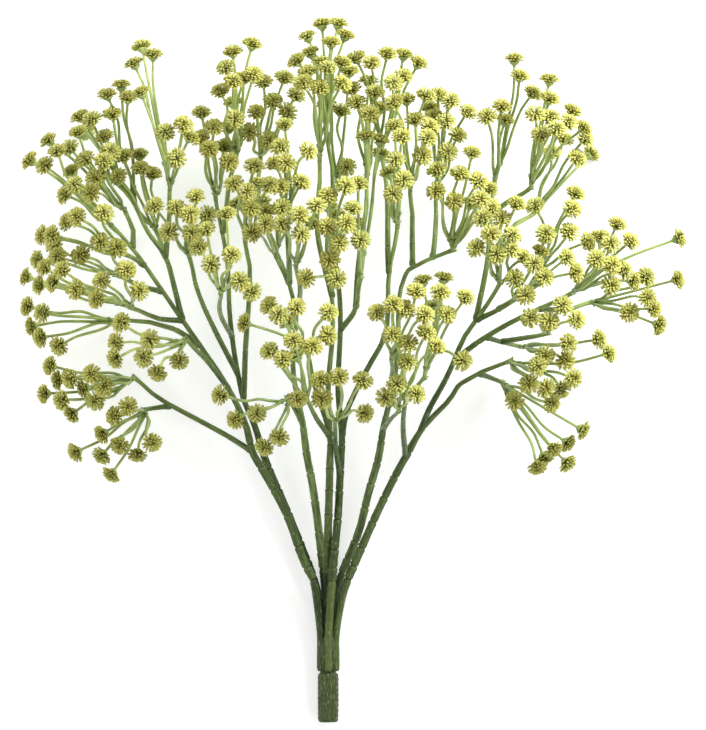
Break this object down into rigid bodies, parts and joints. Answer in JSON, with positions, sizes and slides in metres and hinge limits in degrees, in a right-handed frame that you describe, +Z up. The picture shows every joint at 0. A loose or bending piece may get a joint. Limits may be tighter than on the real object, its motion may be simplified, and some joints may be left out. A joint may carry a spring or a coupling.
{
  "type": "artificial gypsophila bush",
  "caption": "Moulded plastic gypsophila bush: jointed green stems fork from a ribbed handle into sprays of small olive-yellow pompom heads, laid down.",
  "frame": {"origin": "on the surface that the bush lies on, under the middle of its box", "axes": "+Y from the handle to the top of the crown, +X across the crown, +Z up from the surface"},
  "size_m": [0.4222, 0.4488, 0.1736],
  "materials": {
    "stem_green": "fluted green polyethylene with a soft sheen, darker at the joints",
    "bloom_olive": "olive-yellow polyethylene petals, darker at their roots, on pale green stalks"
  },
  "bodies": {
    "root": {"handle": "stem_green", "stem_left_back": "stem_green", "stem_left_front": "stem_green", "stem_middle_back": "stem_green", "stem_middle_front": "stem_green", "stem_middle_left": "stem_green", "stem_right_back": "stem_green", "stem_right_front": "stem_green", "spray_left_back_1": "bloom_olive", "spray_left_back_2": "bloom_olive", "spray_left_back_3": "bloom_olive", "spray_left_back_4": "bloom_olive", "spray_left_back_5": "bloom_olive", "spray_left_front_1": "bloom_olive", "spray_left_front_10": "bloom_olive", "spray_left_front_11": "bloom_olive", "spray_left_front_12": "bloom_olive", "spray_left_front_2": "bloom_olive", "spray_left_front_3": "bloom_olive", "spray_left_front_4": "bloom_olive", "spray_left_front_5": "bloom_olive", "spray_left_front_6": "bloom_olive", "spray_left_front_7": "bloom_olive", "spray_left_front_8": "bloom_olive", "spray_left_front_9": "bloom_olive", "spray_middle_back_1": "bloom_olive", "spray_middle_back_2": "bloom_olive", "spray_middle_back_3": "bloom_olive", "spray_middle_back_4": "bloom_olive", "spray_middle_back_5": "bloom_olive", "spray_middle_front_1": "bloom_olive", "spray_middle_front_2": "bloom_olive", "spray_middle_front_3": "bloom_olive", "spray_middle_front_4": "bloom_olive", "spray_middle_front_5": "bloom_olive", "spray_middle_front_6": "bloom_olive", "spray_middle_left_1": "bloom_olive", "spray_middle_left_2": "bloom_olive", "spray_middle_left_3": "bloom_olive", "spray_middle_left_4": "bloom_olive", "spray_middle_left_5": "bloom_olive", "spray_right_back_1": "bloom_olive", "spray_right_back_2": "bloom_olive", "spray_right_back_3": "bloom_olive", "spray_right_back_4": "bloom_olive", "spray_right_back_5": "bloom_olive", "spray_right_back_6": "bloom_olive", "spray_right_front_1": "bloom_olive", "spray_right_front_10": "bloom_olive", "spray_right_front_11": "bloom_olive", "spray_right_front_12": "bloom_olive", "spray_right_front_13": "bloom_olive", "spray_right_front_2": "bloom_olive", "spray_right_front_3": "bloom_olive", "spray_right_front_4": "bloom_olive", "spray_right_front_5": "bloom_olive", "spray_right_front_6": "bloom_olive", "spray_right_front_7": "bloom_olive", "spray_right_front_8": "bloom_olive", "spray_right_front_9": "bloom_olive"}
  },
  "joints": []
}
